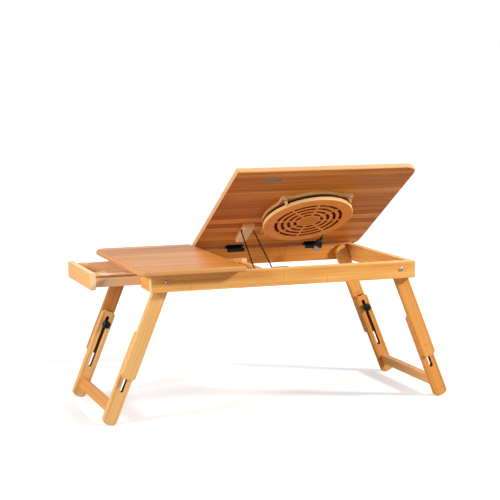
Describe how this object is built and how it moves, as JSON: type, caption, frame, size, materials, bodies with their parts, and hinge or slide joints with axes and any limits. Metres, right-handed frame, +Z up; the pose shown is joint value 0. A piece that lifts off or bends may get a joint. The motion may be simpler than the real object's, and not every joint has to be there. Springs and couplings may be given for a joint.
{
  "type": "folding laptop cooling table",
  "caption": "Folding bamboo laptop table with a tilting top cooled by a fan, a fixed top over a drawer, a wire prop and height-adjustable folding legs.",
  "frame": {"origin": "middle of the opened table's box, on the floor under it", "axes": "+X towards the drawer's end, +Y towards the raised edge of the tilting top, +Z up"},
  "size_m": [0.7098, 0.3526, 0.4626],
  "materials": {
    "frame_bamboo": "satin lacquer",
    "leg_bamboo": "satin lacquer",
    "top_bamboo": "satin lacquer",
    "block_bamboo": "satin lacquer",
    "drawer_bamboo": "satin lacquer",
    "drawer_board": "matte",
    "black_steel": "black coating",
    "bright_steel": "plated",
    "magnet": "plain",
    "brown_plastic": "matte",
    "fan_plastic": "satin",
    "fan_dark_plastic": "satin",
    "lead_rubber": "matte",
    "black_plastic": "satin"
  },
  "bodies": {
    "frame": {"rear_rail": "frame_bamboo", "front_rail": "frame_bamboo", "left_end_rail": "frame_bamboo", "right_end_board_rear": "frame_bamboo", "right_end_board_front": "frame_bamboo", "bay_board_rear": "frame_bamboo", "bay_board_front": "frame_bamboo", "bay_divider": "frame_bamboo", "drawer_runner_rear": "frame_bamboo", "drawer_runner_front": "frame_bamboo", "prop_rest": "frame_bamboo", "fixed_top": "top_bamboo", "hinge_frame_leaves": "black_steel", "hinge_pins": "black_steel", "catch_case": "brown_plastic", "catch_magnet": "magnet", "pivot_bolts": "bright_steel", "pivot_washers": "bright_steel", "pivot_nuts": "bright_steel"},
    "top": {"tilting_top": "top_bamboo", "hinge_top_leaves": "black_steel", "laptop_stop": "top_bamboo", "prop_block": "block_bamboo", "strike_plate": "bright_steel", "fan_base": "fan_plastic", "fan_grille": "fan_plastic", "fan_motor": "fan_dark_plastic", "fan_lead": "lead_rubber", "usb_grip": "black_plastic", "usb_shell": "bright_steel"},
    "bail": {"prop_bail": "black_steel"},
    "rotor": {"fan_rotor": "fan_dark_plastic"},
    "drawer": {"drawer_front": "drawer_bamboo", "drawer_side_rear": "drawer_bamboo", "drawer_side_front": "drawer_bamboo", "drawer_back": "drawer_bamboo", "drawer_bottom": "drawer_board"},
    "right_upper_legs": {"right_rear_upper_leg": "leg_bamboo", "right_front_upper_leg": "leg_bamboo", "right_leg_inserts": "bright_steel"},
    "right_lower_legs": {"right_rear_lower_leg": "leg_bamboo", "right_front_lower_leg": "leg_bamboo", "right_stretcher": "leg_bamboo"},
    "right_rear_clamp": {"right_rear_knob": "black_plastic", "right_rear_stud": "bright_steel"},
    "right_front_clamp": {"right_front_knob": "black_plastic", "right_front_stud": "bright_steel"},
    "left_upper_legs": {"left_rear_upper_leg": "leg_bamboo", "left_front_upper_leg": "leg_bamboo", "left_leg_inserts": "bright_steel"},
    "left_lower_legs": {"left_rear_lower_leg": "leg_bamboo", "left_front_lower_leg": "leg_bamboo", "left_stretcher": "leg_bamboo"},
    "left_rear_clamp": {"left_rear_knob": "black_plastic", "left_rear_stud": "bright_steel"},
    "left_front_clamp": {"left_front_knob": "black_plastic", "left_front_stud": "bright_steel"}
  },
  "joints": [
    {"name": "top_tilt", "type": "hinge", "parent": "frame", "child": "top", "pos_m": [-0.09332, -0.15768, 0.27808], "axis": [-1, 0, 0], "range_deg": [0, 32]},
    {"name": "bail_swing", "type": "hinge", "parent": "top", "child": "bail", "pos_m": [-0.00677, -0.07224, 0.32439], "axis": [1, 0, 0], "range_deg": [0, 67.05]},
    {"name": "fan_spin", "type": "hinge", "parent": "top", "child": "rotor", "pos_m": [-0.11552, -0.02454, 0.36128], "axis": [0, -0.5299, 0.848], "continuous": true},
    {"name": "drawer_slide", "type": "slide", "parent": "frame", "child": "drawer", "axis": [-1, 0, 0], "range_m": [-0.0285, 0.0865]},
    {"name": "right_legs_fold", "type": "hinge", "parent": "frame", "child": "right_upper_legs", "pos_m": [0.22868, -0.00068, 0.26288], "axis": [0, 1, 0], "range_deg": [0, 107.8]},
    {"name": "right_legs_height", "type": "slide", "parent": "right_upper_legs", "child": "right_lower_legs", "axis": [-0.3746, 0, 0.9272], "range_m": [-0.012, 0.085]},
    {"name": "right_rear_knob_turn", "type": "hinge", "parent": "right_upper_legs", "child": "right_rear_clamp", "pos_m": [0.27663, 0.11532, 0.1442], "axis": [0, -1, 0], "range_deg": [0, 360]},
    {"name": "right_front_knob_turn", "type": "hinge", "parent": "right_upper_legs", "child": "right_front_clamp", "pos_m": [0.27663, -0.11668, 0.1442], "axis": [0, 1, 0], "range_deg": [0, 360]},
    {"name": "left_legs_fold", "type": "hinge", "parent": "frame", "child": "left_upper_legs", "pos_m": [-0.23982, -0.00068, 0.26288], "axis": [0, -1, 0], "range_deg": [0, 107.8]},
    {"name": "left_legs_height", "type": "slide", "parent": "left_upper_legs", "child": "left_lower_legs", "axis": [0.3746, 0, 0.9272], "range_m": [-0.012, 0.085]},
    {"name": "left_rear_knob_turn", "type": "hinge", "parent": "left_upper_legs", "child": "left_rear_clamp", "pos_m": [-0.28777, 0.11532, 0.1442], "axis": [0, -1, 0], "range_deg": [0, 360]},
    {"name": "left_front_knob_turn", "type": "hinge", "parent": "left_upper_legs", "child": "left_front_clamp", "pos_m": [-0.28777, -0.11668, 0.1442], "axis": [0, 1, 0], "range_deg": [0, 360]}
  ],
  "couplings": [
    {"joint": "bail_swing", "follows": "top_tilt", "ratio": 2.0938}
  ]
}
